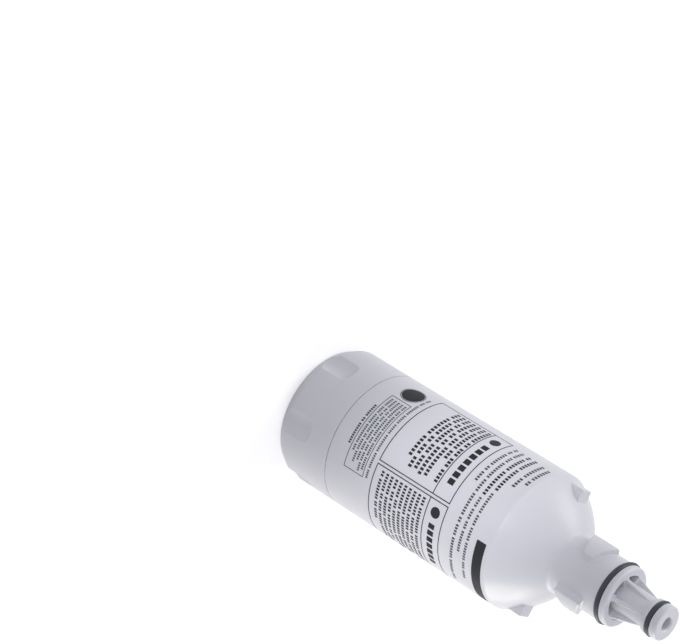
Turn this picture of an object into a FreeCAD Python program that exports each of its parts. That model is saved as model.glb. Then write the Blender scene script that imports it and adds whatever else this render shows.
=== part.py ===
import FreeCAD
import Part
import math
import os

# A bayonet water filter cartridge for a fridge, standing on its end cap.
# Lengths are millimetres and angles are degrees. The cartridge's axis is Z, its base lies at z = 0,
# the outlet points up, and one of the nose's ribs lies on the X axis.

# Shell: barrel, end cap and the spin weld between them
BARREL_RADIUS = 31.0
SHELL_WALL = 2.6
WELD_HEIGHT = 30.0
SHOULDER_HEIGHT = 121.5
SEAM_DEPTH = 0.6
SEAM_HALF_WIDTH = 0.25
SHOULDER_ROUND = 1.0

# End cap: thicker wall, weld tongue, grip scallops and base
CAP_WALL = 4.2
CAP_FLOOR = 3.0
CAP_RIM_INSET = 2.6
CAP_RIM_HEIGHT = 4.8
CAP_RIM_ROUND = 1.2
BASE_RECESS_RADIUS = 21.0
BASE_RECESS_DEPTH = 0.8
TONGUE_WALL = 1.8
TONGUE_HEIGHT = 6.0
TONGUE_RAMP = 3.0
WELD_CLEARANCE = 0.1
GRIP_COUNT = 6
GRIP_FIRST_ANGLE = -114.0
GRIP_WIDTH = 11.0
GRIP_DEPTH = 2.0
GRIP_HEIGHT = 18.5
GRIP_RUNOUT = 4.0
GRIP_EDGE_ROUND = 0.8
LOCATING_RING_WALL = 1.5
LOCATING_RING_HEIGHT = 2.5

# Dome and neck
DOME_RISE = 18.9
DOME_BULGE = 1.8
NECK_RADIUS = 13.3
NECK_WALL = 3.3
NECK_LENGTH = 28.9
NECK_ROOT_ROUND = 2.0
NECK_EDGE_CHAMFER = 0.6

# Bayonet lugs: a wedge with a tall end and a short end, heights above the neck's root
LUG_COUNT = 3
LUG_FIRST_ANGLE = -125.0
LUG_RADIUS = 16.0
LUG_WIDTH = 13.0
LUG_TALL_FOOT = 4.6
LUG_TALL_HEAD = 18.6
LUG_SHORT_FOOT = 9.9
LUG_SHORT_HEAD = 14.1
LUG_CORNER_ROUND = 0.8
LUG_CROWN_ROUND = 0.5
LUG_ROOT_ROUND = 0.5

# Index keys on the dome
KEY_COUNT = 2
KEY_FIRST_ANGLE = 23.6
KEY_SETBACK = 2.15
KEY_WIDTH = 6.5
KEY_FRONT_RISE = 10.6
KEY_CORNER_ROUND = 0.6

# Nose: stem with ribs, inlet slots between the ribs, tip disc and outlet
STEM_BASE_RADIUS = 7.0
STEM_TOP_RADIUS = 6.3
STEM_LENGTH = 14.3
RIB_COUNT = 6
RIB_THICKNESS = 1.4
RIB_LENGTH = 13.0
RIB_EDGE_ROUND = 0.4
BRIDGE_WIDTH = 3.0
BRIDGE_HEIGHT = 2.8
TIP_RADIUS = 7.6
TIP_FLANGE_HEIGHT = 1.6
TIP_DISC_HEIGHT = 3.2
TIP_EDGE_ROUND = 0.9
OUTLET_RADIUS = 2.9
OUTLET_CHAMFER = 0.6

# Seals: section, how far each ring stands proud, and its groove
NECK_RING_SECTION = 2.4
NECK_RING_PROUD = 0.7
NECK_RING_SETBACK = 3.8
TIP_RING_SECTION = 2.4
TIP_RING_PROUD = 0.4
GROOVE_SLACK = 0.2
RING_CLEARANCE = 0.02

# Filter insert: block, fleece wrap, two end plates and the sealed spigot
FLOW_GAP = 3.9
INSERT_SETBACK = 0.5
INSERT_DISC = 3.0
INSERT_FIT = 0.1
SKIRT_WALL = 1.4
SKIRT_DEPTH = 5.0
WRAP_THICKNESS = 1.2
BLOCK_BORE_RADIUS = 5.0
PLUG_DEPTH = 6.0
FIN_COUNT = 4
FIN_HEIGHT = 8.0
FIN_THICKNESS = 2.0
FIN_INNER_RADIUS = 3.0
GUSSET_REACH = 9.0
GUSSET_HEIGHT = 11.0
COLLAR_RADIUS = 6.6
SOCKET_RADIUS = 5.0
SOCKET_SETBACK = 2.6
SPIGOT_LENGTH = 12.0
SPIGOT_BORE_RADIUS = 2.4
SPIGOT_END_CLEARANCE = 1.0
SPIGOT_RING_SECTION = 1.5

# Places worked out from the sizes above
SHELL_INNER_RADIUS = BARREL_RADIUS - SHELL_WALL
KEY_REACH = BARREL_RADIUS - KEY_SETBACK
NECK_ROOT = SHOULDER_HEIGHT + DOME_RISE
NECK_FRONT = NECK_ROOT + NECK_LENGTH
CHANNEL_RADIUS = NECK_RADIUS - NECK_WALL
STEM_TOP = NECK_FRONT + STEM_LENGTH
TIP_GROOVE_FOOT = STEM_TOP + TIP_FLANGE_HEIGHT
TIP_GROOVE_HEAD = TIP_GROOVE_FOOT + TIP_RING_SECTION + GROOVE_SLACK
TIP_FRONT = TIP_GROOVE_HEAD + TIP_DISC_HEIGHT
TUBE_END = NECK_ROOT + SOCKET_SETBACK
SPIGOT_TOP = TUBE_END + SPIGOT_LENGTH
SPIGOT_RADIUS = SOCKET_RADIUS - INSERT_FIT
NECK_GROOVE_CENTRE = NECK_FRONT - NECK_RING_SETBACK
TIP_GROOVE_CENTRE = (TIP_GROOVE_FOOT + TIP_GROOVE_HEAD) / 2
SPIGOT_GROOVE_CENTRE = (TUBE_END + SPIGOT_TOP) / 2
NECK_GROOVE_RADIUS = NECK_RADIUS + NECK_RING_PROUD - NECK_RING_SECTION
TIP_GROOVE_RADIUS = TIP_RADIUS + TIP_RING_PROUD - TIP_RING_SECTION
SPIGOT_GROOVE_RADIUS = SOCKET_RADIUS - SPIGOT_RING_SECTION - 2 * RING_CLEARANCE
TONGUE_RADIUS = SHELL_INNER_RADIUS - WELD_CLEARANCE
TONGUE_INNER_RADIUS = TONGUE_RADIUS - TONGUE_WALL
INSERT_RADIUS = SHELL_INNER_RADIUS - FLOW_GAP
WRAP_RADIUS = INSERT_RADIUS - SKIRT_WALL - INSERT_FIT
BLOCK_RADIUS = WRAP_RADIUS - WRAP_THICKNESS
CLOSED_DISC_FOOT = CAP_FLOOR + FIN_HEIGHT
BLOCK_FOOT = CLOSED_DISC_FOOT + INSERT_DISC
OUTLET_DISC_TOP = SHOULDER_HEIGHT - INSERT_SETBACK
BLOCK_TOP = OUTLET_DISC_TOP - INSERT_DISC
PLUG_RADIUS = BLOCK_BORE_RADIUS - INSERT_FIT

AXIS = FreeCAD.Vector(0, 0, 1)
ORIGIN = FreeCAD.Vector(0, 0, 0)


def at(radius, height):
    """A point of a turned outline: distance from the axis and height."""
    return FreeCAD.Vector(radius, 0, height)


def turned(*outline):
    """Turn a closed outline of points about Z. A pair (through, end) in it is an arc."""
    edges = []
    here = outline[0]
    for step in outline[1:] + (outline[0],):
        if isinstance(step, tuple):
            through, end = step
            edges.append(Part.Arc(here, through, end).toShape())
        else:
            end = step
            edges.append(Part.LineSegment(here, end).toShape())
        here = end
    return Part.Face(Part.Wire(edges)).revolve(ORIGIN, AXIS, 360)


def ring(inner, outer, foot, head):
    """A plain tube about Z."""
    return turned(at(inner, foot), at(outer, foot), at(outer, head), at(inner, head))


def prism(corners, depth):
    """A flat outline, given as vectors, pushed along a depth vector."""
    return Part.Face(Part.makePolygon(corners + corners[:1])).extrude(depth)


def spaced(shape, count, first_angle=0.0):
    """Copies of a shape, evenly spaced about Z."""
    copies = []
    for index in range(count):
        copy = shape.copy()
        copy.rotate(ORIGIN, AXIS, first_angle + index * 360.0 / count)
        copies.append(copy)
    return copies


def round_edges_at(solid, radius, height, size):
    """Fillet the circular edges of one radius at one height."""
    edges = []
    for edge in solid.Edges:
        curve = edge.Curve
        if not isinstance(curve, Part.Circle):
            continue
        if abs(curve.Radius - radius) < 1e-4 and abs(curve.Center.z - height) < 1e-4:
            edges.append(edge)
    return solid.makeFillet(size, edges)


def border(solid, test):
    """The edges where faces whose surface passes a test meet faces whose surface doesn't."""
    inside = [face for face in solid.Faces if test(face.Surface)]
    outside = [face for face in solid.Faces if not test(face.Surface)]
    return [edge for face in inside for edge in face.Edges
            if any(edge.isSame(other) for mate in outside for other in mate.Edges)]


def off_axis(surface):
    """How far a round surface's own axis lies from the cartridge's axis."""
    return math.hypot(surface.Center.x, surface.Center.y)


def is_cylinder(surface, radius):
    """Is this surface a cylinder of one radius about the cartridge's axis?"""
    return (isinstance(surface, Part.Cylinder)
            and abs(surface.Radius - radius) < 1e-4 and off_axis(surface) < 1e-4)


class Dome:
    """The dome's section: one arc from the shoulder to the neck's root, bulged outwards."""

    def __init__(self):
        run = BARREL_RADIUS - NECK_RADIUS
        chord = math.hypot(run, DOME_RISE)
        out = at(DOME_RISE / chord, run / chord)
        middle = at((BARREL_RADIUS + NECK_RADIUS) / 2, SHOULDER_HEIGHT + DOME_RISE / 2)
        self.radius = (chord * chord / 4 + DOME_BULGE ** 2) / (2 * DOME_BULGE)
        self.through = middle + out * DOME_BULGE
        self.centre = middle - out * (self.radius - DOME_BULGE)

    def height_inside(self, radius, wall):
        """Height of the section at a distance from the axis, a wall's thickness inside the arc."""
        reach = self.radius - wall
        return self.centre.z + math.sqrt(reach ** 2 - (radius - self.centre.x) ** 2)


def housing_outside(dome):
    """Barrel, dome, neck, stem and tip as one solid turning, with both outer seal grooves."""
    half_neck = (NECK_RING_SECTION + GROOVE_SLACK) / 2
    neck_foot = NECK_GROOVE_CENTRE - half_neck
    neck_head = NECK_GROOVE_CENTRE + half_neck
    body = turned(
        at(0, WELD_HEIGHT),
        at(BARREL_RADIUS - SEAM_DEPTH, WELD_HEIGHT),
        at(BARREL_RADIUS - SEAM_DEPTH, WELD_HEIGHT + SEAM_HALF_WIDTH),
        at(BARREL_RADIUS, WELD_HEIGHT + SEAM_HALF_WIDTH),
        at(BARREL_RADIUS, SHOULDER_HEIGHT),
        (dome.through, at(NECK_RADIUS, NECK_ROOT)),
        at(NECK_RADIUS, neck_foot),
        at(NECK_GROOVE_RADIUS, neck_foot),
        at(NECK_GROOVE_RADIUS, neck_head),
        at(NECK_RADIUS, neck_head),
        at(NECK_RADIUS, NECK_FRONT - NECK_EDGE_CHAMFER),
        at(NECK_RADIUS - NECK_EDGE_CHAMFER, NECK_FRONT),
        at(STEM_BASE_RADIUS, NECK_FRONT),
        at(STEM_TOP_RADIUS, STEM_TOP),
        at(TIP_RADIUS, STEM_TOP),
        at(TIP_RADIUS, TIP_GROOVE_FOOT),
        at(TIP_GROOVE_RADIUS, TIP_GROOVE_FOOT),
        at(TIP_GROOVE_RADIUS, TIP_GROOVE_HEAD),
        at(TIP_RADIUS, TIP_GROOVE_HEAD),
        at(TIP_RADIUS, TIP_FRONT),
        at(0, TIP_FRONT),
    )
    body = round_edges_at(body, BARREL_RADIUS, SHOULDER_HEIGHT, SHOULDER_ROUND)
    body = round_edges_at(body, NECK_RADIUS, NECK_ROOT, NECK_ROOT_ROUND)
    return round_edges_at(body, TIP_RADIUS, TIP_FRONT, TIP_EDGE_ROUND)


def bayonet_lugs():
    """Wedges round the neck: a keystone cut from a ring, with a ramp on its foot and its head."""
    half = LUG_WIDTH / 2
    outline = [
        FreeCAD.Vector(0, -half, NECK_ROOT + LUG_TALL_FOOT),
        FreeCAD.Vector(0, half, NECK_ROOT + LUG_SHORT_FOOT),
        FreeCAD.Vector(0, half, NECK_ROOT + LUG_SHORT_HEAD),
        FreeCAD.Vector(0, -half, NECK_ROOT + LUG_TALL_HEAD),
    ]
    keystone = prism(outline, FreeCAD.Vector(2 * LUG_RADIUS, 0, 0))
    corners = [edge for edge in keystone.Edges if abs(edge.tangentAt(edge.FirstParameter).x) > 0.99]
    keystone = keystone.makeFillet(LUG_CORNER_ROUND, corners)
    band = ring(CHANNEL_RADIUS + NECK_WALL / 2, LUG_RADIUS, NECK_ROOT, NECK_FRONT)
    wedge = band.common(keystone)
    crown = border(wedge, lambda surface: is_cylinder(surface, LUG_RADIUS))
    return spaced(wedge.makeFillet(LUG_CROWN_ROUND, crown), LUG_COUNT, LUG_FIRST_ANGLE)


def fillet_lug_roots(outside):
    """Round the corner between the neck and each lug, as a moulding has it."""
    foot = NECK_ROOT + LUG_TALL_FOOT - 1e-3
    head = NECK_ROOT + LUG_TALL_HEAD + 1e-3
    roots = [edge for edge in border(outside, lambda surface: is_cylinder(surface, NECK_RADIUS))
             if edge.BoundBox.ZMin > foot and edge.BoundBox.ZMax < head]
    return outside.makeFillet(LUG_ROOT_ROUND, roots)


def index_keys():
    """Square blocks on the dome that only let the cartridge in the right way round."""
    height = KEY_FRONT_RISE + SHELL_WALL
    block = Part.makeBox(KEY_REACH - NECK_RADIUS, KEY_WIDTH, height)
    block.translate(FreeCAD.Vector(NECK_RADIUS, -KEY_WIDTH / 2, SHOULDER_HEIGHT - SHELL_WALL))
    front = SHOULDER_HEIGHT + KEY_FRONT_RISE
    shown = [edge for edge in block.Edges
             if min(vertex.X for vertex in edge.Vertexes) > KEY_REACH - 1e-4
             and max(vertex.Z for vertex in edge.Vertexes) > front - 1e-4]
    return spaced(block.makeFillet(KEY_CORNER_ROUND, shown), KEY_COUNT, KEY_FIRST_ANGLE)


def nose_ribs():
    """Gussets along the stem, widest at the neck's front face."""
    half = RIB_THICKNESS / 2
    foot = NECK_FRONT - BRIDGE_HEIGHT
    outline = [
        FreeCAD.Vector(TIP_GROOVE_RADIUS, -half, foot),
        FreeCAD.Vector(CHANNEL_RADIUS, -half, foot),
        FreeCAD.Vector(CHANNEL_RADIUS, -half, NECK_FRONT),
        FreeCAD.Vector(STEM_TOP_RADIUS, -half, NECK_FRONT + RIB_LENGTH),
        FreeCAD.Vector(TIP_GROOVE_RADIUS, -half, NECK_FRONT + RIB_LENGTH),
    ]
    rib = prism(outline, FreeCAD.Vector(0, RIB_THICKNESS, 0))
    slope = [edge for edge in rib.Edges
             if edge.BoundBox.ZMin > NECK_FRONT - 1e-4 and edge.BoundBox.XMax > CHANNEL_RADIUS - 1e-4
             and edge.BoundBox.ZLength > RIB_LENGTH - 1e-4]
    return spaced(rib.makeFillet(RIB_EDGE_ROUND, slope), RIB_COUNT)


def housing_inside(dome):
    """What is hollow: barrel, dome, inlet channel and slots, spigot socket and outlet."""
    seat = dome.height_inside(SHELL_INNER_RADIUS, SHELL_WALL)
    roof = dome.height_inside(CHANNEL_RADIUS, SHELL_WALL)
    halfway = (SHELL_INNER_RADIUS + CHANNEL_RADIUS) / 2
    bridge_foot = NECK_FRONT - BRIDGE_HEIGHT
    chamber = turned(
        at(0, WELD_HEIGHT),
        at(SHELL_INNER_RADIUS, WELD_HEIGHT),
        at(SHELL_INNER_RADIUS, seat),
        (at(halfway, dome.height_inside(halfway, SHELL_WALL)), at(CHANNEL_RADIUS, roof)),
        at(CHANNEL_RADIUS, bridge_foot),
        at(STEM_BASE_RADIUS, bridge_foot),
        at(STEM_BASE_RADIUS, TUBE_END),
        at(0, TUBE_END),
    )
    slots = ring(STEM_BASE_RADIUS, CHANNEL_RADIUS, bridge_foot, NECK_FRONT)
    bridge = Part.makeBox(NECK_RADIUS, BRIDGE_WIDTH, 2 * NECK_LENGTH)
    bridge.translate(FreeCAD.Vector(0, -BRIDGE_WIDTH / 2, NECK_ROOT))
    slots = slots.cut(spaced(bridge, RIB_COUNT))
    socket_head = SPIGOT_TOP + SPIGOT_END_CLEARANCE
    passage = turned(
        at(0, TUBE_END),
        at(SOCKET_RADIUS, TUBE_END),
        at(SOCKET_RADIUS, socket_head),
        at(OUTLET_RADIUS, socket_head + SOCKET_RADIUS - OUTLET_RADIUS),
        at(OUTLET_RADIUS, TIP_FRONT - OUTLET_CHAMFER),
        at(OUTLET_RADIUS + OUTLET_CHAMFER, TIP_FRONT),
        at(0, TIP_FRONT),
    )
    return [chamber, slots, passage]


def housing():
    dome = Dome()
    outside = housing_outside(dome).fuse(bayonet_lugs() + index_keys()).removeSplitter()
    outside = fillet_lug_roots(outside)
    hollow = outside.cut(housing_inside(dome))
    return hollow.fuse(nose_ribs()).removeSplitter()


def grip_scallops():
    """Shallow finger hollows round the end cap, each the side of a wide rounded cutter."""
    half = GRIP_WIDTH / 2
    shoulder = BARREL_RADIUS - math.sqrt(BARREL_RADIUS ** 2 - half ** 2)
    dip = GRIP_DEPTH - shoulder
    cutter_radius = (half ** 2 + dip ** 2) / (2 * dip)
    cutter = Part.makeCylinder(cutter_radius, GRIP_HEIGHT + CAP_FLOOR)
    cutter.translate(FreeCAD.Vector(0, 0, -CAP_FLOOR))
    cutter = round_edges_at(cutter, cutter_radius, GRIP_HEIGHT, GRIP_RUNOUT)
    cutter.translate(FreeCAD.Vector(BARREL_RADIUS + cutter_radius - GRIP_DEPTH, 0, 0))
    return spaced(cutter, GRIP_COUNT, GRIP_FIRST_ANGLE)


def end_cap():
    inner = BARREL_RADIUS - CAP_WALL
    ramp_foot = WELD_HEIGHT - TONGUE_RAMP
    ledge = ramp_foot - (inner - TONGUE_INNER_RADIUS)
    cap = turned(
        at(0, BASE_RECESS_DEPTH),
        at(BASE_RECESS_RADIUS, BASE_RECESS_DEPTH),
        at(BASE_RECESS_RADIUS + BASE_RECESS_DEPTH, 0),
        at(BARREL_RADIUS - CAP_RIM_INSET, 0),
        at(BARREL_RADIUS, CAP_RIM_HEIGHT),
        at(BARREL_RADIUS, WELD_HEIGHT - SEAM_HALF_WIDTH),
        at(BARREL_RADIUS - SEAM_DEPTH, WELD_HEIGHT - SEAM_HALF_WIDTH),
        at(BARREL_RADIUS - SEAM_DEPTH, WELD_HEIGHT),
        at(TONGUE_RADIUS, WELD_HEIGHT),
        at(TONGUE_RADIUS, WELD_HEIGHT + TONGUE_HEIGHT),
        at(TONGUE_INNER_RADIUS, WELD_HEIGHT + TONGUE_HEIGHT),
        at(TONGUE_INNER_RADIUS, ramp_foot),
        at(inner, ledge),
        at(inner, CAP_FLOOR),
        at(0, CAP_FLOOR),
    )
    cap = round_edges_at(cap, BARREL_RADIUS - CAP_RIM_INSET, 0, CAP_RIM_ROUND)
    cap = round_edges_at(cap, BARREL_RADIUS, CAP_RIM_HEIGHT, CAP_RIM_ROUND)
    cap = cap.cut(grip_scallops())
    lips = border(cap, lambda surface: isinstance(surface, (Part.Cylinder, Part.Toroid))
                  and off_axis(surface) > BARREL_RADIUS)
    cap = cap.makeFillet(GRIP_EDGE_ROUND, lips)
    ring_inner = INSERT_RADIUS + INSERT_FIT
    locating = ring(ring_inner, ring_inner + LOCATING_RING_WALL, CAP_FLOOR, CAP_FLOOR + LOCATING_RING_HEIGHT)
    return cap.fuse(locating).removeSplitter()


def seal_ring(groove_radius, section, height):
    """A round rubber ring that lies on the floor of its groove."""
    middle = groove_radius + RING_CLEARANCE + section / 2
    return Part.makeTorus(middle, section / 2, at(0, height), AXIS)


def carbon_block():
    return ring(BLOCK_BORE_RADIUS, BLOCK_RADIUS, BLOCK_FOOT, BLOCK_TOP)


def prefilter_wrap():
    return ring(BLOCK_RADIUS, WRAP_RADIUS, BLOCK_FOOT, BLOCK_TOP)


def outlet_end_cap():
    """Upper end plate: skirt, plug into the block, collar against the socket tube, sealed spigot."""
    groove_half = (SPIGOT_RING_SECTION + GROOVE_SLACK) / 2
    skirt_inner = INSERT_RADIUS - SKIRT_WALL
    plate = turned(
        at(SPIGOT_BORE_RADIUS, BLOCK_TOP - PLUG_DEPTH),
        at(PLUG_RADIUS, BLOCK_TOP - PLUG_DEPTH),
        at(PLUG_RADIUS, BLOCK_TOP),
        at(skirt_inner, BLOCK_TOP),
        at(skirt_inner, BLOCK_TOP - SKIRT_DEPTH),
        at(INSERT_RADIUS, BLOCK_TOP - SKIRT_DEPTH),
        at(INSERT_RADIUS, OUTLET_DISC_TOP),
        at(COLLAR_RADIUS, OUTLET_DISC_TOP),
        at(COLLAR_RADIUS, TUBE_END),
        at(SPIGOT_RADIUS, TUBE_END),
        at(SPIGOT_RADIUS, SPIGOT_GROOVE_CENTRE - groove_half),
        at(SPIGOT_GROOVE_RADIUS, SPIGOT_GROOVE_CENTRE - groove_half),
        at(SPIGOT_GROOVE_RADIUS, SPIGOT_GROOVE_CENTRE + groove_half),
        at(SPIGOT_RADIUS, SPIGOT_GROOVE_CENTRE + groove_half),
        at(SPIGOT_RADIUS, SPIGOT_TOP),
        at(SPIGOT_BORE_RADIUS, SPIGOT_TOP),
    )
    half = FIN_THICKNESS / 2
    gusset = prism([
        FreeCAD.Vector(PLUG_RADIUS, -half, BLOCK_TOP + INSERT_DISC / 2),
        FreeCAD.Vector(COLLAR_RADIUS + GUSSET_REACH, -half, BLOCK_TOP + INSERT_DISC / 2),
        FreeCAD.Vector(COLLAR_RADIUS + GUSSET_REACH, -half, OUTLET_DISC_TOP),
        FreeCAD.Vector(PLUG_RADIUS, -half, OUTLET_DISC_TOP + GUSSET_HEIGHT),
    ], FreeCAD.Vector(0, FIN_THICKNESS, 0))
    return plate.fuse(spaced(gusset, FIN_COUNT)).removeSplitter()


def closed_end_cap():
    """Lower end plate: skirt, blind plug into the block and fins that stand on the shell's floor."""
    skirt_inner = INSERT_RADIUS - SKIRT_WALL
    plate = turned(
        at(0, CLOSED_DISC_FOOT),
        at(INSERT_RADIUS, CLOSED_DISC_FOOT),
        at(INSERT_RADIUS, BLOCK_FOOT + SKIRT_DEPTH),
        at(skirt_inner, BLOCK_FOOT + SKIRT_DEPTH),
        at(skirt_inner, BLOCK_FOOT),
        at(PLUG_RADIUS, BLOCK_FOOT),
        at(PLUG_RADIUS, BLOCK_FOOT + PLUG_DEPTH),
        at(0, BLOCK_FOOT + PLUG_DEPTH),
    )
    fin = Part.makeBox(INSERT_RADIUS - FIN_INNER_RADIUS, FIN_THICKNESS, FIN_HEIGHT + INSERT_DISC / 2)
    fin.translate(FreeCAD.Vector(FIN_INNER_RADIUS, -FIN_THICKNESS / 2, CAP_FLOOR))
    envelope = Part.makeCylinder(INSERT_RADIUS, BLOCK_FOOT)
    fins = [copy.common(envelope) for copy in spaced(fin, FIN_COUNT)]
    return plate.fuse(fins).removeSplitter()


def main():
    nodes = {
        "housing": housing(),
        "end_cap": end_cap(),
        "neck_o_ring": seal_ring(NECK_GROOVE_RADIUS, NECK_RING_SECTION, NECK_GROOVE_CENTRE),
        "tip_o_ring": seal_ring(TIP_GROOVE_RADIUS, TIP_RING_SECTION, TIP_GROOVE_CENTRE),
        "carbon_block": carbon_block(),
        "prefilter_wrap": prefilter_wrap(),
        "outlet_end_cap": outlet_end_cap(),
        "closed_end_cap": closed_end_cap(),
        "spigot_o_ring": seal_ring(SPIGOT_GROOVE_RADIUS, SPIGOT_RING_SECTION, SPIGOT_GROOVE_CENTRE),
    }
    os.makedirs("parts", exist_ok=True)
    for name, shape in nodes.items():
        solids = len(shape.Solids)
        print(f"{name}: valid {shape.isValid()}, solids {solids}, {shape.Volume / 1000:.2f} cm3")
        shape.exportStep(f"parts/{name}.step")


main()
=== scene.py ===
# %% [markdown]
# # A water filter cartridge for a fridge
# The real thing is a sealed white bottle, about as long as a hand. Its end cap is welded on, a dome leads
# to a neck with three bayonet wedges, and a ribbed nose carries the water in and out past two rubber rings.
# The shapes were drawn as exact solids in a CAD program, and they come in here as a fixed frame, in metres,
# with the axis on Z and the base on z = 0. This lesson gives them their looks: it keeps the moulded solids,
# remakes the rubber rings, lays the print on the barrel, and sets the light of the photograph.

# %% Load the solids
import math

import bmesh
import bpy
import numpy as np
from mathutils import Matrix, Vector


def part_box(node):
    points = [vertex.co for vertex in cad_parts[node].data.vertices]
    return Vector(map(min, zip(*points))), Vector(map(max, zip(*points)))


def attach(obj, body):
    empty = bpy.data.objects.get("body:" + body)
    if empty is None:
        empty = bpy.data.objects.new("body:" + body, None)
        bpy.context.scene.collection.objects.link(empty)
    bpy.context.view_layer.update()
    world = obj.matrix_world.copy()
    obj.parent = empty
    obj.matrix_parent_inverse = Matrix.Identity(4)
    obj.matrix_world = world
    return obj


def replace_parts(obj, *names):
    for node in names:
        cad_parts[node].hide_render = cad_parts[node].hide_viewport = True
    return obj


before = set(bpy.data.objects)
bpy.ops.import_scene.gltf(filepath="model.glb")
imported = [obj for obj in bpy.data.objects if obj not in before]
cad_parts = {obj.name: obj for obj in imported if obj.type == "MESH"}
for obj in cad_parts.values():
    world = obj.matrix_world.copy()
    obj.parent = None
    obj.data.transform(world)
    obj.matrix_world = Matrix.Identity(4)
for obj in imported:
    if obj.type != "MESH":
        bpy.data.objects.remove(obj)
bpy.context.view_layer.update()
MM = 0.001
scene = bpy.context.scene
print("solids:", ", ".join(sorted(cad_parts)))

# %% [markdown]
# ## The camera
# The photograph was taken from a little over a metre away with a long lens, so the cartridge hardly narrows
# with distance. It lies across the picture there, while ours stands on its end cap. Nothing is laid down
# for that: the camera is turned about its own line of sight instead, which gives the same picture. A lens
# shift could have put the cartridge in the lower right corner, but aiming past it does the same and leaves
# the camera plain.

# %% Place the camera
VIEW_ANGLE, VIEW_RISE, VIEW_ROLL = -74.634, 35.726, 120.971
VIEW_DISTANCE = 1146.5 * MM
MIDDLE = Vector((0, 0, 95.5)) * MM
AIM_PAST = Vector((-61.45, 78.37, 0)) * MM
LENS, SENSOR = 147.73, 36


def pointing(angle, rise):
    """A direction of length one, from an angle about Z, counted from X, and a rise over the floor, both in
    degrees: cos rise times cos angle, cos rise times sin angle, and sin rise."""
    angle, rise = math.radians(angle), math.radians(rise)
    return Vector((math.cos(rise) * math.cos(angle), math.cos(rise) * math.sin(angle), math.sin(rise)))


to_camera = pointing(VIEW_ANGLE, VIEW_RISE)
turn = to_camera.to_track_quat("Z", "Y").to_matrix() @ Matrix.Rotation(math.radians(VIEW_ROLL), 3, "Z")
place = MIDDLE + turn @ AIM_PAST + to_camera * VIEW_DISTANCE

camera = bpy.data.objects.new("photo_camera", bpy.data.cameras.new("photo_camera"))
scene.collection.objects.link(camera)
camera.matrix_world = Matrix.Translation(place) @ turn.to_4x4()
camera.data.lens, camera.data.sensor_width = LENS, SENSOR
scene.camera = camera
print("camera stands at", [round(x, 3) for x in place], "m")

# %% [markdown]
# ## Small helpers for nodes
# Light and finishes are both built from shader nodes, and the same few steps come back each time: give a
# socket a value, work out one number from two, move a number to another range, and blend two colours. With
# a function for each, a cell below reads as a list of what goes in. A Mix node has sockets for every kind
# of data, so the numbers of those for colours are kept here.

# %% Wire nodes together
MIX_INPUTS, MIX_OUTPUT = (0, 6, 7), 2


def feed(tree, socket, item):
    """Give a socket a constant, or link it to another node's output."""
    if isinstance(item, bpy.types.NodeSocket):
        tree.links.new(item, socket)
    else:
        socket.default_value = item


def combine(tree, operation, first, second):
    """Two values, or a value and a number, put together by one operation, such as a sum."""
    node = tree.nodes.new("ShaderNodeMath")
    node.operation = operation
    feed(tree, node.inputs[0], first)
    feed(tree, node.inputs[1], second)
    return node.outputs[0]


def scaled(tree, value, low, high, to_low=0, to_high=1):
    """A value moved from one range to another, and held inside it."""
    node = tree.nodes.new("ShaderNodeMapRange")
    for socket, item in zip(node.inputs, (value, low, high, to_low, to_high)):
        feed(tree, socket, item)
    return node.outputs["Result"]


def blended(tree, share, first, second):
    """A colour between two others, by a share from zero to one."""
    node = tree.nodes.new("ShaderNodeMix")
    node.data_type = "RGBA"
    for number, item in zip(MIX_INPUTS, (share, first, second)):
        feed(tree, node.inputs[number], item)
    return node.outputs[MIX_OUTPUT]


def seen_directly(tree):
    """A value of one for rays from the camera, a mirror or a lens, and zero for rays that carry light."""
    path = tree.nodes.new("ShaderNodeLightPath").outputs
    either = combine(tree, "MAXIMUM", path["Is Camera Ray"], path["Is Glossy Ray"])
    return combine(tree, "MAXIMUM", either, path["Is Transmission Ray"])


print("helpers for nodes: feed, combine, scaled, blended, seen_directly")

# %% [markdown]
# ## The room's light
# A white part on a white ground is shot in a tent of pale cloth. Light comes from all round, a little less
# of it and a little bluer where the camera stands, so the side that faces the camera is the greyest. A
# picture of such a room could light the scene, but a smooth sky needs no file: it goes from one tone to
# another along a single direction. What the camera, a mirror or a lens sees behind the part is plain white.

# %% Build the tent of light
BRIGHT_SIDE = pointing(angle=-140, rise=52.4314)
BRIGHT_SKY, DIM_SKY, WHITE = (0.66, 0.66, 0.745, 1), (0.17, 0.17, 0.195, 1), (1, 1, 1, 1)

scene.view_settings.view_transform = "Standard"
tent = bpy.data.worlds.new("light_tent")
scene.world = tent
tent.use_nodes = True
tree = tent.node_tree
towards = tree.nodes.new("ShaderNodeVectorMath")
towards.operation = "DOT_PRODUCT"
feed(tree, towards.inputs[0], tree.nodes.new("ShaderNodeTexCoord").outputs["Generated"])
feed(tree, towards.inputs[1], BRIGHT_SIDE)
cloth = blended(tree, scaled(tree, towards.outputs["Value"], -1, 1), DIM_SKY, BRIGHT_SKY)
feed(tree, tree.nodes["Background"].inputs["Color"], blended(tree, seen_directly(tree), cloth, WHITE))
print("the sky is brightest towards", [round(x, 2) for x in BRIGHT_SIDE])

# %% [markdown]
# ## Three lamps
# Both edges of the barrel glow in the photograph, so two large round lamps stand behind the cartridge, one
# on each side. The upper one also gives the dome its gloss, and the lower one stands for the light that a
# white table throws back. In front, a weak spot with a soft edge lifts the printed barrel, and leaves the
# end cap and the dome a little darker. A large lamp in front would flatten all of it.

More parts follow.
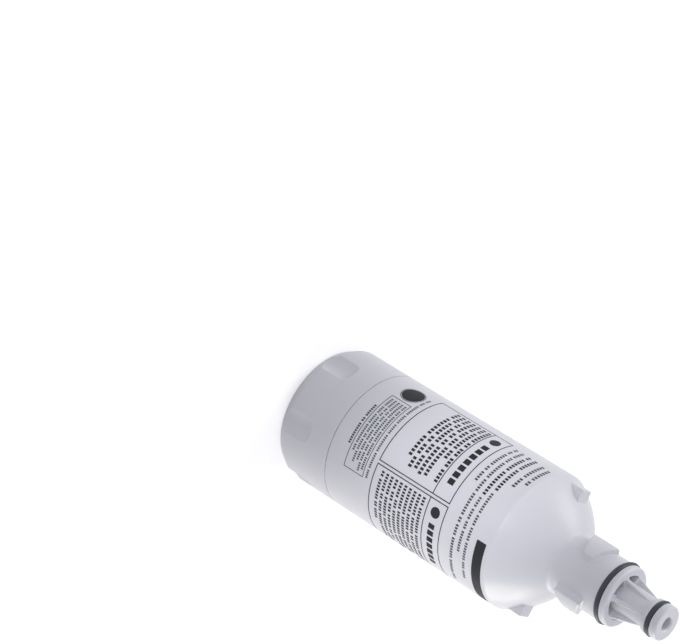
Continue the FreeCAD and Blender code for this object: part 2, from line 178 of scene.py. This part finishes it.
# %% Hang the lamps
def hang(name, kind, angle, rise, aim, power, colour):
    """A lamp one metre from a point on the axis, which is aim millimetres up, and turned towards it."""
    lamp = bpy.data.objects.new(name, bpy.data.lights.new(name, kind))
    scene.collection.objects.link(lamp)
    lamp.data.energy, lamp.data.color = power, colour
    out = pointing(angle, rise)
    stand = Matrix.Translation(Vector((0, 0, aim)) * MM + out)
    lamp.matrix_world = stand @ out.to_track_quat("Z", "Y").to_matrix().to_4x4()
    print(name, "hangs at", [round(x, 2) for x in lamp.matrix_world.translation], "m")
    return lamp.data


upper = hang("upper_lamp", "AREA", angle=175, rise=35, aim=95, power=2.35, colour=(1, 0.99, 0.97))
upper.shape, upper.size = "DISK", 0.55
lower = hang("lower_lamp", "AREA", angle=40, rise=12, aim=95, power=5.4, colour=(1, 0.98, 0.93))
lower.shape, lower.size = "DISK", 0.70
front = hang("front_spot", "SPOT", angle=-76, rise=14, aim=86, power=13.0, colour=(0.93, 0.95, 1))
front.spot_size, front.spot_blend, front.shadow_soft_size = math.radians(6.9), 0.8, 0.02

# %% [markdown]
# ## The floor
# The floor is a white card. A card that is lit enough to look pure white would throw too much light up at
# the part. So the camera sees a share of plain glow in it, and the rest is ordinary matt card, which takes
# the soft shadow round the foot of the cartridge. Light that bounces meets only the matt card.

# %% Lay the floor
FLOOR_HALF = 3.0
CARD_LIT, CARD_SHOWN, CARD_GLOW = (0.7, 0.7, 0.7, 1), (0.8, 0.8, 0.8, 1), 0.46


def white_card():
    """Card that the camera sees as part glow, part matt white, and that other light sees as matt white."""
    card = bpy.data.materials.new("white_card")
    card.use_nodes = True
    tree = card.node_tree
    tree.nodes.remove(tree.nodes["Principled BSDF"])
    lit, shown, glow, both, choice = (tree.nodes.new("ShaderNode" + kind) for kind in (
        "BsdfDiffuse", "BsdfDiffuse", "Emission", "AddShader", "MixShader"))
    feed(tree, lit.inputs["Color"], CARD_LIT)
    feed(tree, shown.inputs["Color"], CARD_SHOWN)
    feed(tree, glow.inputs["Strength"], CARD_GLOW)
    for socket, item in zip(both.inputs, (shown.outputs[0], glow.outputs[0])):
        feed(tree, socket, item)
    for socket, item in zip(choice.inputs, (seen_directly(tree), lit.outputs[0], both.outputs[0])):
        feed(tree, socket, item)
    feed(tree, tree.nodes["Material Output"].inputs["Surface"], choice.outputs[0])
    return card


sheet = bpy.data.meshes.new("floor")
corners = FLOOR_HALF * np.array([(-1, -1, 0), (1, -1, 0), (1, 1, 0), (-1, 1, 0)])
sheet.from_pydata(corners, [], [(0, 1, 2, 3)])
sheet.materials.append(white_card())
floor = bpy.data.objects.new("floor", sheet)
scene.collection.objects.link(floor)
print("floor is", 2 * FLOOR_HALF, "m wide")

# %% [markdown]
# ## Helpers for finishes
# Every finish below is a Principled shader fed by procedural textures, so it needs no picture and holds
# from any side. Two effects serve several finishes each and are built once as node groups. A group gives
# out only what changes over the surface: colour, roughness and height. Each material keeps its own shader,
# and takes the height as relief through a Bump node.

# %% Make node groups and materials
COLOUR, NUMBER = "NodeSocketColor", "NodeSocketFloat"
SURFACE = {"Colour": COLOUR, "Roughness": NUMBER, "Height": NUMBER}


def new_group(name, inputs):
    """A node group that gives out a surface. Inputs give each socket's kind and first value."""
    group = bpy.data.node_groups.new(name, "ShaderNodeTree")
    for label, (kind, value) in inputs.items():
        group.interface.new_socket(label, in_out="INPUT", socket_type=kind).default_value = value
    for label, kind in SURFACE.items():
        group.interface.new_socket(label, in_out="OUTPUT", socket_type=kind)
    return group, group.nodes.new("NodeGroupInput").outputs, group.nodes.new("NodeGroupOutput").inputs


def new_finish(name, group, depth, values):
    """A material with the surface of a group, from values for the group's inputs and a relief depth in
    millimetres."""
    finish = bpy.data.materials.new(name)
    finish.use_nodes = True
    tree = finish.node_tree
    shader, relief = tree.nodes["Principled BSDF"], tree.nodes.new("ShaderNodeBump")
    surface = tree.nodes.new("ShaderNodeGroup")
    surface.node_tree = group
    for label, value in values.items():
        feed(tree, surface.inputs[label], value)
    feed(tree, relief.inputs["Distance"], depth * MM)
    feed(tree, relief.inputs["Height"], surface.outputs["Height"])
    feed(tree, shader.inputs["Base Color"], surface.outputs["Colour"])
    feed(tree, shader.inputs["Roughness"], surface.outputs["Roughness"])
    feed(tree, shader.inputs["Normal"], relief.outputs["Normal"])
    return finish, shader


def noise(tree, place, size, detail, stretch=(1, 1, 1)):
    """Noise whose blotches are about size millimetres across, drawn out by stretch along each axis."""
    mapping, texture = tree.nodes.new("ShaderNodeMapping"), tree.nodes.new("ShaderNodeTexNoise")
    feed(tree, mapping.inputs["Scale"], [1 / pull for pull in stretch])
    feed(tree, mapping.inputs["Vector"], place)
    feed(tree, texture.inputs["Vector"], mapping.outputs["Vector"])
    feed(tree, texture.inputs["Scale"], 1 / (size * MM))
    feed(tree, texture.inputs["Detail"], detail)
    return texture.outputs["Fac"]


print("a group gives out", ", ".join(SURFACE))

# %% [markdown]
# ## Moulded skin
# An injection moulding is never one flat white. The melt cools in faint clouds, handling leaves the gloss
# patchy, the wall sinks by a few hundredths, and the polished steel leaves fine lines along the draw and a
# faint pebble. The group mixes those at their real sizes. It reads Object coordinates, so the skin stays on
# the part.

# %% Build the moulded skin group
CLOUD_SIZE, PATCH_SIZE, SINK_SIZE, DRAW_SIZE, PEBBLE_SIZE = 22, 7, 13, 0.7, 0.5
CLOUD_RANGE, PATCH_RANGE = (0.36, 0.66), (0.38, 0.68)
DRAW_STRETCH = (1, 1, 30)
DRAW_SHARE, PEBBLE_SHARE = 0.07, 0.05

skin, given, result = new_group("moulded_skin", {
    "Colour": (COLOUR, (0.8, 0.8, 0.8, 1)), "Cloud": (COLOUR, (0.75, 0.75, 0.75, 1)),
    "Gloss": (NUMBER, 0.35), "Smudge": (NUMBER, 0.08)})
on_part = skin.nodes.new("ShaderNodeTexCoord").outputs["Object"]
clouds = scaled(skin, noise(skin, on_part, CLOUD_SIZE, detail=3), *CLOUD_RANGE)
patches = scaled(skin, noise(skin, on_part, PATCH_SIZE, detail=5), *PATCH_RANGE)
sinks = noise(skin, on_part, SINK_SIZE, detail=1)
drawn = combine(skin, "MULTIPLY", noise(skin, on_part, DRAW_SIZE, detail=2, stretch=DRAW_STRETCH), DRAW_SHARE)
pebble = combine(skin, "MULTIPLY", noise(skin, on_part, PEBBLE_SIZE, detail=2), PEBBLE_SHARE)
uneven = combine(skin, "MULTIPLY", patches, given["Smudge"])
feed(skin, result["Colour"], blended(skin, clouds, given["Colour"], given["Cloud"]))
feed(skin, result["Roughness"], combine(skin, "ADD", given["Gloss"], uneven))
feed(skin, result["Height"], combine(skin, "ADD", sinks, combine(skin, "ADD", drawn, pebble)))
print("moulded skin has", len(skin.nodes), "nodes")

# %% [markdown]
# ### Plastics and ink
# The shell and its cap are moulded apart from white plastic, so they differ by a shade. The plates inside
# are left without pigment, which lets more light through. Ink dries to a skin much like plastic, only
# thinner and duller, so it shares the group. Five materials could be wired one by one, but they differ only
# in numbers. So one function sets them all, and what is the same all over a surface goes straight onto the
# shader.

# %% Make the moulded finishes
PLASTIC_BEND, INK_BEND = 1.49, 1.3
SCATTER_TINT, SCATTER_REACH = (1.0, 0.95, 0.9), 1.2 * MM


def moulded(name, colour, cloud, gloss, smudge, depth, through, bend=PLASTIC_BEND):
    """A moulded finish: its two tones, its gloss and how patchy that is, the depth of its relief in
    millimetres, the share of light that it lets in, and how much it bends light, which sets its shine."""
    finish, shader = new_finish(name, skin, depth, {
        "Colour": (*colour, 1), "Cloud": (*cloud, 1), "Gloss": gloss, "Smudge": smudge})
    shader.inputs["IOR"].default_value = bend
    shader.inputs["Subsurface Weight"].default_value = through
    shader.inputs["Subsurface Radius"].default_value = SCATTER_TINT
    shader.inputs["Subsurface Scale"].default_value = SCATTER_REACH
    return finish


shell_white = moulded("shell_white", (0.775, 0.777, 0.787), (0.755, 0.758, 0.772),
                      gloss=0.30, smudge=0.10, depth=0.05, through=0.12)
cap_white = moulded("cap_white", (0.770, 0.772, 0.782), (0.748, 0.751, 0.766),
                    gloss=0.34, smudge=0.10, depth=0.05, through=0.12)
natural_plastic = moulded("natural_plastic", (0.72, 0.725, 0.70), (0.68, 0.69, 0.67),
                          gloss=0.38, smudge=0.10, depth=0.04, through=0.3)
ink_black = moulded("ink_black", (0.012, 0.012, 0.015), (0.026, 0.026, 0.031),
                    gloss=0.48, smudge=0.12, depth=0.004, through=0.0, bend=INK_BEND)
ink_grey = moulded("ink_grey", (0.060, 0.060, 0.068), (0.095, 0.095, 0.105),
                   gloss=0.50, smudge=0.12, depth=0.004, through=0.0, bend=INK_BEND)
print("moulded:", *(finish.name for finish in (shell_white, cap_white, natural_plastic, ink_black, ink_grey)))

# %% [markdown]
# ## Grain
# Rubber, pressed carbon and fleece are all a fine grain in two tones with a paler bloom over it in places.
# They differ in the grain's size and depth, so one group serves them, and the size comes in as an input. A
# cell texture would give harder grains, but at these sizes noise looks the same.

# %% Build the grain group
GRAIN_DETAIL, GRAIN_RANGE = 4, (0.35, 0.72)
BLOOM_SIZE, BLOOM_RANGE, BLOOM_LEAST = 4, (0.4, 0.7), 0.55

grain, given, result = new_group("grain", {
    "Dark": (COLOUR, (0, 0, 0, 1)), "Light": (COLOUR, (1, 1, 1, 1)), "Coarse": (NUMBER, 400.0),
    "Gloss": (NUMBER, 0.5), "Patchy": (NUMBER, 0.1)})
on_part = grain.nodes.new("ShaderNodeTexCoord").outputs["Object"]
specks = grain.nodes.new("ShaderNodeTexNoise")
for label, item in (("Vector", on_part), ("Scale", given["Coarse"]), ("Detail", GRAIN_DETAIL)):
    feed(grain, specks.inputs[label], item)
bloom = scaled(grain, noise(grain, on_part, BLOOM_SIZE, detail=4), *BLOOM_RANGE)
tone = combine(grain, "MULTIPLY", scaled(grain, specks.outputs["Fac"], *GRAIN_RANGE),
               scaled(grain, bloom, 0, 1, BLOOM_LEAST, 1))
uneven = combine(grain, "MULTIPLY", bloom, given["Patchy"])
feed(grain, result["Colour"], blended(grain, tone, given["Dark"], given["Light"]))
feed(grain, result["Roughness"], combine(grain, "ADD", given["Gloss"], uneven))
feed(grain, result["Height"], specks.outputs["Fac"])
print("grain has", len(grain.nodes), "nodes")

# %% [markdown]
# ### Rubber, carbon and fleece
# The rings are filled rubber, smooth and slightly blue. The block is carbon powder pressed with a binder,
# dull and rough. The wrap is a felt of white fibres, and its sheen stands for the loose ends that catch
# light at the edge. The last two lie inside the shell and count only where the part is opened up.

# %% Make the grained finishes
FLEECE_SHEEN = 0.4


def grained(name, dark, light, size, gloss, patchy, depth):
    """A grained finish: its two tones, the size of its grain in millimetres, its gloss and how patchy that
    is, and the depth of its relief in millimetres."""
    return new_finish(name, grain, depth, {
        "Dark": (*dark, 1), "Light": (*light, 1), "Coarse": 1 / (size * MM),
        "Gloss": gloss, "Patchy": patchy})


seal_rubber, _ = grained("seal_rubber", (0.018, 0.024, 0.034), (0.042, 0.053, 0.072),
                         size=0.35, gloss=0.36, patchy=0.2, depth=0.01)
pressed_carbon, _ = grained("pressed_carbon", (0.008, 0.008, 0.009), (0.05, 0.05, 0.053),
                            size=0.5, gloss=0.75, patchy=0.2, depth=0.3)
fleece_white, fleece_shader = grained("fleece_white", (0.60, 0.60, 0.58), (0.82, 0.82, 0.80),
                                      size=0.4, gloss=0.85, patchy=0.1, depth=0.2)
fleece_shader.inputs["Sheen Weight"].default_value = FLEECE_SHEEN
print("grained:", *(finish.name for finish in (seal_rubber, pressed_carbon, fleece_white)))

# %% [markdown]
# ## The solids that stay
# The shell, the cap and the pieces inside them have their exact shapes in the frame already. Remaking them
# as meshes would only lose accuracy, so each keeps its solid and takes a finish in its slot. The two outer
# rings are dressed as well, although new ones stand in for them below.

# %% Dress the solids
FINISHES = {"housing": shell_white, "end_cap": cap_white, "carbon_block": pressed_carbon,
            "prefilter_wrap": fleece_white, "outlet_end_cap": natural_plastic,
            "closed_end_cap": natural_plastic, "spigot_o_ring": seal_rubber,
            "neck_o_ring": seal_rubber, "tip_o_ring": seal_rubber}
for name, finish in FINISHES.items():
    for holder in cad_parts[name].material_slots:
        holder.material = finish
print("dressed", len(FINISHES), "solids")

# %% [markdown]
# ## Surfaces from arrays
# A new piece is a grid of points that a formula gives, with no modelling by hand. One function joins a
# grid's neighbours into four-cornered faces, and another repeats that for many like shapes. Faces have to
# point outwards. Blender could recalculate them, but the sign of the enclosed volume tells it at once for a
# whole piece, and where it comes out negative every face is turned over.

# %% Join points into faces
def grid_faces(rows, columns, rows_close, columns_close):
    """Faces between neighbours on a grid of points. Where a direction closes, its last line joins its
    first."""
    i, j = np.meshgrid(np.arange(rows if rows_close else rows - 1),
                       np.arange(columns if columns_close else columns - 1), indexing="ij")
    up, over = (i + 1) % rows, (j + 1) % columns
    corners = (i * columns + j, up * columns + j, up * columns + over, i * columns + over)
    return np.stack(corners, -1).reshape(-1, 4)


def repeated(faces, copies, points_each):
    """The same faces for each copy of a shape: every copy's corners start points_each later."""
    return (faces[None] + points_each * np.arange(copies)[:, None, None]).reshape(-1, faces.shape[1])


def volume(points, faces):
    """Enclosed volume: the sum over triangles of corner . (corner x corner) over six."""
    triangles = np.concatenate([faces[:, (0, 1, 2)], faces[:, (0, 2, 3)]])
    a, b, c = (points[triangles[:, k]] for k in range(3))
    return (a * np.cross(b, c)).sum() / 6


print("a closed grid of 4 by 3 points has", len(grid_faces(4, 3, True, True)), "faces")

# %% [markdown]
# ### Pieces
# The arrays become a mesh object at the origin, which rides on the cartridge. A shape that is turned about
# the axis has many points in one place at its pole, so those are merged. Shading is smooth, except over
# edges that are sharper than a crease angle. A Bevel modifier could round those, but an edge of ink is only
# hundredths of a millimetre high.

# %% Turn arrays into pieces
WELD_REACH, CREASE, NO_CREASE = 0.001, 40, 180


def weld(mesh):
    """Merge points that share a place, which closes the pole of a turned shape."""
    shape = bmesh.new()
    shape.from_mesh(mesh)
    bmesh.ops.remove_doubles(shape, verts=shape.verts, dist=WELD_REACH * MM)
    shape.to_mesh(mesh)
    shape.free()


def new_piece(name, points, faces, finish, slot=None, crease=CREASE):
    """An object at the origin from arrays in millimetres, smooth up to a crease angle, riding on the part."""
    points = np.asarray(points, float).reshape(-1, 3)
    if volume(points, faces) < 0:
        faces = faces[:, ::-1]
    mesh = bpy.data.meshes.new(name)
    mesh.from_pydata(points * MM, [], faces.tolist())
    weld(mesh)
    mesh.polygons.foreach_set("use_smooth", np.ones(len(mesh.polygons), bool))
    mesh.set_sharp_from_angle(angle=math.radians(crease))
    mesh.materials.append(finish)
    piece = bpy.data.objects.new(name, mesh)
    scene.collection.objects.link(piece)
    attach(piece, "root")
    print(f"{name}: {len(points)} points, {len(faces)} faces, {volume(points, faces):.2f} mm3")
    return piece


print("edges over", CREASE, "degrees stay sharp")

# %% [markdown]
# ## Rubber rings
# A sealing ring is moulded in two halves that meet on its widest circle, which leaves a hair of flash
# there. It sits stretched in its groove. A torus from the add menu would do for the round section, but not
# for the flash line, so the section is worked out as a circle with a small bump on its outer side and
# carried round the axis. The rings that the CAD model has stay for collision and aren't shown.

# %% Turn the rings
RING_SECTION = 2.4
FLASH_HEIGHT, FLASH_SPREAD = 0.05, math.radians(5)
RING_STEPS, SECTION_STEPS, CROWDING = 220, 72, 0.375


def rubber_ring(node):
    """A ring in place of a CAD ring: at the section angle a, the distance from the section's middle is the
    section's radius plus flash times (exp of minus (a / spread) squared, less one), and the section turns
    about Z. Steps crowd near the flash: each angle moves towards zero by crowding times sin 2a times exp of
    minus a squared."""
    low, high = (np.array(corner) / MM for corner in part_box(node))
    height, reach = (low[2] + high[2]) / 2, high[0] - RING_SECTION / 2
    a = np.linspace(-np.pi, np.pi, SECTION_STEPS, endpoint=False)
    a = a - CROWDING * np.sin(2 * a) * np.exp(-a * a)
    bulge = RING_SECTION / 2 + FLASH_HEIGHT * (np.exp(-(a / FLASH_SPREAD) ** 2) - 1)
    around = np.linspace(0, 2 * np.pi, RING_STEPS, endpoint=False)[:, None]
    radius = reach + bulge * np.cos(a)
    points = np.stack([radius * np.cos(around), radius * np.sin(around),
                       height + bulge * np.sin(a) + 0 * around], -1)
    faces = grid_faces(RING_STEPS, SECTION_STEPS, True, True)
    ring = new_piece(node.replace("o_ring", "seal"), points, faces, seal_rubber, "seal_rubber", NO_CREASE)
    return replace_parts(ring, node)


for node in ("neck_o_ring", "tip_o_ring"):
    rubber_ring(node)

# %% [markdown]
# ## Print
# The barrel is screen printed: two large framed panels, a small one, a dark roundel, many rows of small
# marks and one heavy band. An image on the barrel would blur close up. Ink is a thin layer that stands a
# little proud of the wall, so every mark is a closed tile bent round the barrel, sharp at any size. Marks
# are laid out flat, in millimetres round the barrel and up it, and one function wraps them.

# %% Wrap a flat drawing round the barrel
BARREL_RADIUS, INK_PROUD, INK_SUNK = 31.0, 0.02, 0.06
INK_SECTION = BARREL_RADIUS + np.array([-INK_SUNK, -INK_SUNK, INK_PROUD, INK_PROUD])
INK_SIDES = len(INK_SECTION)


def arc(degrees):
    """The length round the barrel, in millimetres, of an angle in degrees from the X axis."""
    return np.radians(degrees) * BARREL_RADIUS


def wrapped(along, up):
    """Points round the axis, for sections of four points, two on the foot of the ink and two on its face: the
    angle is along over the barrel's radius, and up is the height."""
    angle = along / BARREL_RADIUS
    return np.stack(np.broadcast_arrays(INK_SECTION * np.cos(angle), INK_SECTION * np.sin(angle), up), -1)


print("one degree round the barrel is", round(float(arc(1)), 3), "mm")

# %% [markdown]
# ### Tiles, hoops and discs
# All the print is made of two forms. A tile is a flat section that runs from left to right and is shorter
# near both ends, which rounds its corners; a disc is a tile with corners as large as it allows. A hoop is
# the same section carried round a circle. Cutting shapes out of a sheet would leave ragged faces, and these
# stay regular.

# %% Draw tiles, hoops and discs
HOOP_STEPS, DISC_ROUND, DISC_STEPS = 96, 0.99, 16


def tiles(left, right, low, high, corner, corner_steps=2, middle_steps=0):
    """Tiles with round corners, all at once. A flat section is carried along each tile from left to right.
    At the corner angle a, which goes from a right angle to zero, the section stands corner * (1 - sin a) in
    from the end, and is corner * (1 - cos a) short of the tile's height at both sides."""
    left, right, low, high, corner = (np.asarray(item, float).reshape(-1, 1) for item in
                                      np.broadcast_arrays(left, right, low, high, corner))
    a = np.linspace(np.pi / 2, 0, corner_steps)
    inset, short = corner * (1 - np.sin(a)), corner * (1 - np.cos(a))
    share = np.linspace(0, 1, middle_steps + 2)[1:-1]
    between = left + corner + (right - left - 2 * corner) * share
    x = np.concatenate([left + inset, between, right - inset[:, ::-1]], 1)[..., None]
    trim = np.concatenate([short, 0 * between, short[:, ::-1]], 1)
    bottom, top = low + trim, high - trim
    points = wrapped(x, np.stack([bottom, top, top, bottom], -1))
    columns = x.shape[1]
    start = np.arange(INK_SIDES)
    end = INK_SIDES * (columns - 1) + start[::-1]
    faces = np.concatenate([grid_faces(columns, INK_SIDES, False, True), [start, end]])
    return points.reshape(-1, 3), repeated(faces, len(x), INK_SIDES * columns)


def hoop(along, up, inner, outer):
    """A printed ring: a flat section from the inner to the outer radius is carried once round a circle."""
    a = np.linspace(0, 2 * np.pi, HOOP_STEPS, endpoint=False)[:, None]
    reach = np.array([inner, outer, outer, inner])
    points = wrapped(along + reach * np.cos(a), up + reach * np.sin(a))
    return points.reshape(-1, 3), grid_faces(HOOP_STEPS, INK_SIDES, True, True)


def disc(along, up, reach):
    """A printed disc: a tile whose corners are so round that its straight sides all but vanish."""
    return tiles(along - reach, along + reach, up - reach, up + reach, DISC_ROUND * reach, DISC_STEPS)


def joined(parts):
    """Several meshes as one: each one's faces are moved on by the points before it."""
    starts = np.cumsum([0] + [len(points) for points, _ in parts[:-1]])
    return (np.concatenate([points for points, _ in parts]),
            np.concatenate([faces + start for (_, faces), start in zip(parts, starts)]))


print("a disc has", len(disc(0, 0, 1)[1]), "faces, a hoop", len(hoop(0, 0, 1, 2)[1]))

# %% [markdown]
# ### Panels
# Two panels stand side by side on the front of the barrel, each with a line under its head, and a small one
# is lower down. Their frames are thin lines of ink. A curve with a bevel could draw a frame in one go, but
# it would be round in section, so each side is a tile. Panels are given by two angles and two heights.

# %% Print the panels
LINE, FINE_LINE, LINE_CORNER, LINE_STEPS = 0.44, 0.30, 0.02, 44
SMALL_PANEL = (-116.4, -47, 40.0, 50.8)
FIRST_PANEL, SECOND_PANEL = (-142, -66.4, 56.0, 95.8), (-63.5, 11, 56.0, 96.0)
DIVIDER_UP = 86.4


def panel(left, right, low, high, line):
    """Four lines round a rectangle. The two that run round the barrel are whole, and the upright ones stand
    between them, so no two tiles lie in each other."""
    left, right, half = arc(left), arc(right), line / 2
    across = tiles([left - half] * 2, [right + half] * 2,
                   [low - half, high - half], [low + half, high + half], LINE_CORNER, middle_steps=LINE_STEPS)
    upright = tiles([left - half, right - half], [left + half, right + half],
                    [low + half] * 2, [high - half] * 2, LINE_CORNER)
    return [across, upright]


lefts, rights = arc([FIRST_PANEL[:2], SECOND_PANEL[:2]]).T
dividers = tiles(lefts + LINE / 2, rights - LINE / 2, DIVIDER_UP - LINE / 2, DIVIDER_UP + LINE / 2,
                 LINE_CORNER, middle_steps=LINE_STEPS)
borders = panel(*SMALL_PANEL, FINE_LINE) + panel(*FIRST_PANEL, LINE) + panel(*SECOND_PANEL, LINE)
new_piece("print_panels", *joined(borders + [dividers]), ink_black)

# %% [markdown]
# ### Rows of small marks
# From arm's length fine print is only a rhythm of dark marks in groups. All blocks of a row are equal, and
# a seeded generator draws only how many of them stand together, so each run gives the same rows. Running
# sums place a whole row at once, and the row is stretched to end where the photograph's does. Instances on
# a curve could do it too, but then the blocks wouldn't bend with the barrel.

# %% Set the fine and the plain rows
rng = np.random.default_rng(11)
BLOCK_WIDTH, BLOCK_HEIGHT, BLOCK_GAP, GROUP_GAP, BLOCK_CORNER = 0.74, 1.24, 0.40, 1.10, 0.07
MOST_BLOCKS, MOST_GROUPS, FEWEST, LONGEST = 120, 40, 2, 9


def type_row(start, end, foot, size):
    """Left, right, low and high of a row's equal blocks. Each right side is the sum of the widths and gaps
    up to it; what passes the end or stands alone there is dropped, and the rest is stretched to reach the
    end."""
    last_ones = np.cumsum(rng.integers(FEWEST, LONGEST + 1, MOST_GROUPS)) - 1
    gap = size * np.where(np.isin(np.arange(MOST_BLOCKS), last_ones), GROUP_GAP, BLOCK_GAP)
    width = BLOCK_WIDTH * size
    right = np.cumsum(width + gap) - gap
    room = arc(end) - arc(start)
    count = np.count_nonzero(right <= room)
    if count - 2 in last_ones:
        count -= 1
    stretch = room / right[count - 1]
    right = right[:count] * stretch
    left, top = right - width * stretch, foot + BLOCK_HEIGHT * size
    return np.stack(np.broadcast_arrays(arc(start) + left, arc(start) + right, foot, top))


def type_block(name, rows, finish):
    """A piece with all the blocks of several rows, given as start, end, foot and size."""
    blocks = np.concatenate([type_row(*row) for row in rows], 1)
    return new_piece(name, *tiles(*blocks, BLOCK_CORNER), finish)


def flush(start, ends, top, pitch, size):
    """Rows under each other that all start at one angle, each with its own end, in degrees."""
    return [(start, end, top - pitch * k, size) for k, end in enumerate(ends)]


FINE_ROWS = flush(-113.4, (-52, -49.5, -57, -54, -62), top=48.9, pitch=1.9, size=0.86)
FINE_ROWS += [(-134, -48, 52.3, 0.88)]
FREE_ROWS = [(-138.6, -92, 99.2, 1.12), (-138.6, -3, 102.6, 1.12), (-83, -37, 106.2, 1.05),
             (-90, -14, 109.6, 1.05), (-137, -103, 114.2, 1.25), (-136, -110, 117.8, 1.25)]
type_block("print_fine_type", FINE_ROWS, ink_grey)
type_block("print_plain_type", FREE_ROWS, ink_grey)

# %% [markdown]
# ### Heavier rows
# The rows inside the two large panels, the starts of two free rows and one row below the small panel are
# bolder. Bold print covers more of the wall, so these take the black ink and larger blocks.

# %% Set the heavier rows
FIRST_ROWS = flush(-138.6, (-74.5, -93.8, -74.7, -73.1, -75.4, -73.9, -81.8), top=83.9, pitch=2.9, size=1.42)
SECOND_ROWS = flush(-60.5, (6, 8, 2, 7, 4, 8, -2, 6, 3, -18), top=83.0, pitch=2.62, size=1.2)
BOLD_ROWS = [(-138.6, -86, 106.2, 1.3), (-138.6, -93.5, 109.6, 1.3), (-101, -65, 37.9, 0.95)]
type_block("print_bold_type", FIRST_ROWS + SECOND_ROWS + BOLD_ROWS, ink_black)

# %% [markdown]
# ### Heads, roundel and band
# The heaviest marks are solid black: seven large blocks and a disc at the head of each panel, the roundel
# with its fine ring near the weld, and the band below the dome. Solid areas show best how ink shines, so
# their tiles have enough steps to bend smoothly.

# %% Print the heavy marks
HEAD_LOW, HEAD_HIGH, HEAD_BLOCKS, HEAD_GAP, HEAD_CORNER = 89.6, 92.8, 7, 0.9, 0.15
HEAD_STARTS, HEAD_ENDS, HEAD_DISCS, HEAD_DISC_REACH = (-123, -46), (-78, -4), (-131, -54.5), 2.4
BAND_LEFT, BAND_RIGHT, BAND_LOW, BAND_HIGH, BAND_CORNER = -55, 7, 114.6, 119.6, 0.4
ROUNDEL_AT, ROUNDEL_UP, ROUNDEL_REACH, ROUNDEL_RING = -128.8, 45.6, 4.95, (5.2, 5.5)

edges = arc(np.linspace(HEAD_STARTS, HEAD_ENDS, HEAD_BLOCKS + 1)).T
heads = tiles(edges[:, :-1].ravel() + HEAD_GAP / 2, edges[:, 1:].ravel() - HEAD_GAP / 2,
              HEAD_LOW, HEAD_HIGH, HEAD_CORNER, corner_steps=3, middle_steps=3)
head_discs = [disc(arc(angle), (HEAD_LOW + HEAD_HIGH) / 2, HEAD_DISC_REACH) for angle in HEAD_DISCS]
band = tiles(arc(BAND_LEFT), arc(BAND_RIGHT), BAND_LOW, BAND_HIGH, BAND_CORNER,
             corner_steps=4, middle_steps=40)
roundel = [disc(arc(ROUNDEL_AT), ROUNDEL_UP, ROUNDEL_REACH), hoop(arc(ROUNDEL_AT), ROUNDEL_UP, *ROUNDEL_RING)]
new_piece("print_heavy_marks", *joined([heads, band] + head_discs + roundel), ink_black)

# %% [markdown]
# ## Gate mark
# The cap is filled through its middle, and the sprue is broken off there. It leaves a low ring and a torn
# stub in the base's recess, out of the way of the table. A displaced disc would do, but a profile carried
# round the axis keeps the ring's edges crisp. The stub's end is tilted and wavy where it tore.

# %% Turn the gate mark
GATE_STEPS, TORN_REACH, TORN_BELOW = 72, 0.8, 0.6
TILT, RIPPLE = 0.05, 0.03

# Radius and height of the profile, from the stub's middle out to the ring and back into the wall.
profile = np.array([(0.0, 0.42), (0.5, 0.40), (0.8, 0.44), (0.95, 0.56), (1.05, 0.80), (2.7, 0.80),
                    (2.85, 0.68), (3.05, 0.64), (3.25, 0.68), (3.4, 0.80), (3.45, 0.95), (0.0, 0.95)])
radius, height = profile.T
a = np.linspace(0, 2 * np.pi, GATE_STEPS, endpoint=False)[:, None]
# Tilt times cos a plus ripple times sin (3a + 1), times the radius, fading out past the stub.
torn = np.exp(-(radius / TORN_REACH) ** 4) * (height < TORN_BELOW)
wave = torn * radius * (TILT * np.cos(a) + RIPPLE * np.sin(3 * a + 1))
stub = np.stack([radius * np.cos(a), radius * np.sin(a), height + wave], -1)
new_piece("gate_mark", stub, grid_faces(GATE_STEPS, len(profile), True, False), cap_white, "white_shell")
